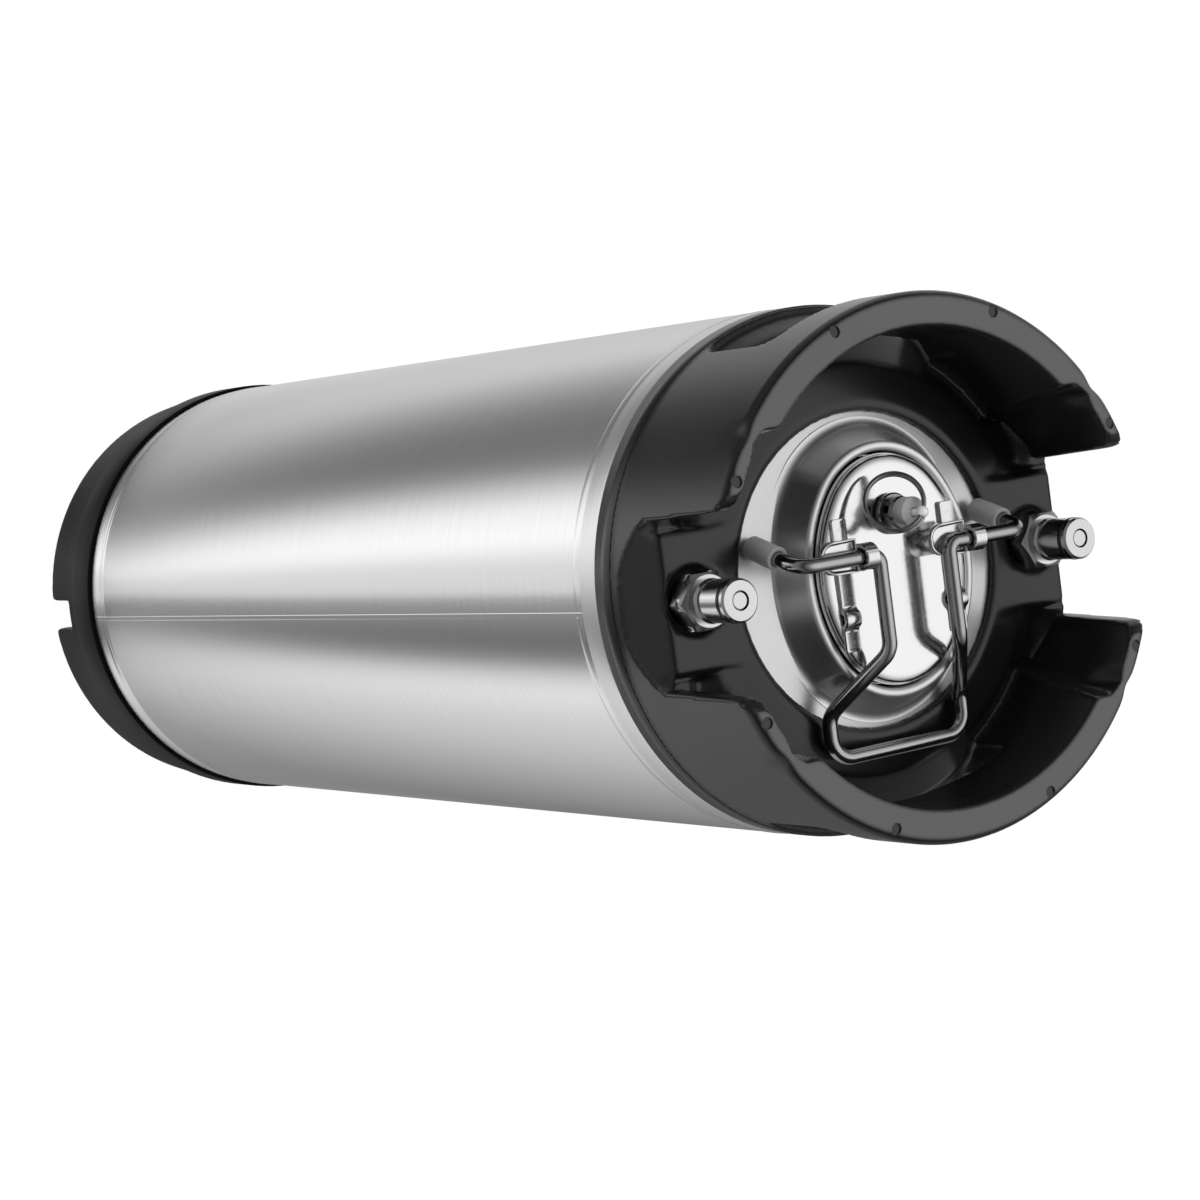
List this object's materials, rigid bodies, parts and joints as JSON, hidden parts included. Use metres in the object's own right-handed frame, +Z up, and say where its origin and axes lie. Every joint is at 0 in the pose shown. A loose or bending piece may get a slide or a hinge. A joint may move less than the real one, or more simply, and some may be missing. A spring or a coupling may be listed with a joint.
{
  "type": "ball lock keg",
  "caption": "Upright steel beverage keg with rubber collar and boot, oval clamped lid, bail handle, pull-ring relief valve and two ball lock posts with dip tubes.",
  "frame": {"origin": "middle of the boot's footprint, on the floor", "axes": "+Z up along the keg's axis; X runs through the two posts with the gas post at -X; Y runs through the two hand holes with the relief valve at +Y"},
  "size_m": [0.2192, 0.2192, 0.635],
  "materials": {
    "shell_steel": "brushed round the shell, with darker weld bands",
    "bright_steel": "bright drawn stainless",
    "wire_steel": "polished stainless wire",
    "post_steel": "turned and polished stainless",
    "collar_rubber": "satin black moulded rubber",
    "seal_rubber": "matt black",
    "foot_rubber": "mid grey, satin",
    "cap_plastic": "mid grey, satin"
  },
  "bodies": {
    "keg": {"shell_body": "shell_steel", "top_dome": "bright_steel", "bottom_dome": "bright_steel", "top_collar": "collar_rubber", "bottom_boot": "collar_rubber", "gas_stub": "post_steel", "gas_post": "post_steel", "gas_post_ring": "seal_rubber", "gas_poppet_spring": "wire_steel", "gas_dip_tube": "bright_steel", "gas_tube_ring": "seal_rubber", "liquid_stub": "post_steel", "liquid_post": "post_steel", "liquid_post_ring": "seal_rubber", "liquid_poppet_spring": "wire_steel", "liquid_dip_tube": "bright_steel", "liquid_tube_ring": "seal_rubber"},
    "lid": {"lid_plate": "bright_steel", "lid_seal": "seal_rubber", "left_bail_bracket": "bright_steel", "right_bail_bracket": "bright_steel", "prv_nut": "post_steel", "prv_gasket": "seal_rubber", "prv_body": "post_steel", "prv_cap": "cap_plastic", "prv_spring": "wire_steel"},
    "bail": {"lid_bail": "wire_steel", "left_bail_foot": "foot_rubber", "right_bail_foot": "foot_rubber"},
    "prv_poppet": {"prv_stem": "post_steel", "prv_poppet_seal": "seal_rubber"},
    "pull_ring": {"prv_ring": "wire_steel"},
    "gas_valve": {"gas_poppet": "post_steel", "gas_poppet_seal": "seal_rubber"},
    "liquid_valve": {"liquid_poppet": "post_steel", "liquid_poppet_seal": "seal_rubber"}
  },
  "joints": [
    {"name": "lid_drop", "type": "slide", "parent": "keg", "child": "lid", "axis": [0, 0, -1], "range_m": [0, 0.001]},
    {"name": "bail_hinge", "type": "hinge", "parent": "lid", "child": "bail", "pos_m": [0, 0.008, 0.617], "axis": [-1, 0, 0], "range_deg": [0, 100]},
    {"name": "prv_lift", "type": "slide", "parent": "lid", "child": "prv_poppet", "axis": [0, 0, 1], "range_m": [0, 0.0025], "stiffness_N_per_m": 1500, "springref_m": -0.004, "deforming": ["prv_spring"]},
    {"name": "prv_ring_swing", "type": "hinge", "parent": "prv_poppet", "child": "pull_ring", "pos_m": [0, 0.022, 0.625], "axis": [0.5446, 0.8387, 0], "range_deg": [0, 115]},
    {"name": "gas_poppet_press", "type": "slide", "parent": "keg", "child": "gas_valve", "axis": [0, 0, -1], "range_m": [0, 0.004], "stiffness_N_per_m": 700, "springref_m": -0.004, "deforming": ["gas_poppet_spring"]},
    {"name": "liquid_poppet_press", "type": "slide", "parent": "keg", "child": "liquid_valve", "axis": [0, 0, -1], "range_m": [0, 0.004], "stiffness_N_per_m": 700, "springref_m": -0.004, "deforming": ["liquid_poppet_spring"]}
  ],
  "couplings": [
    {"joint": "lid_drop", "follows": "bail_hinge", "m_per_rad": 0.00057}
  ]
}
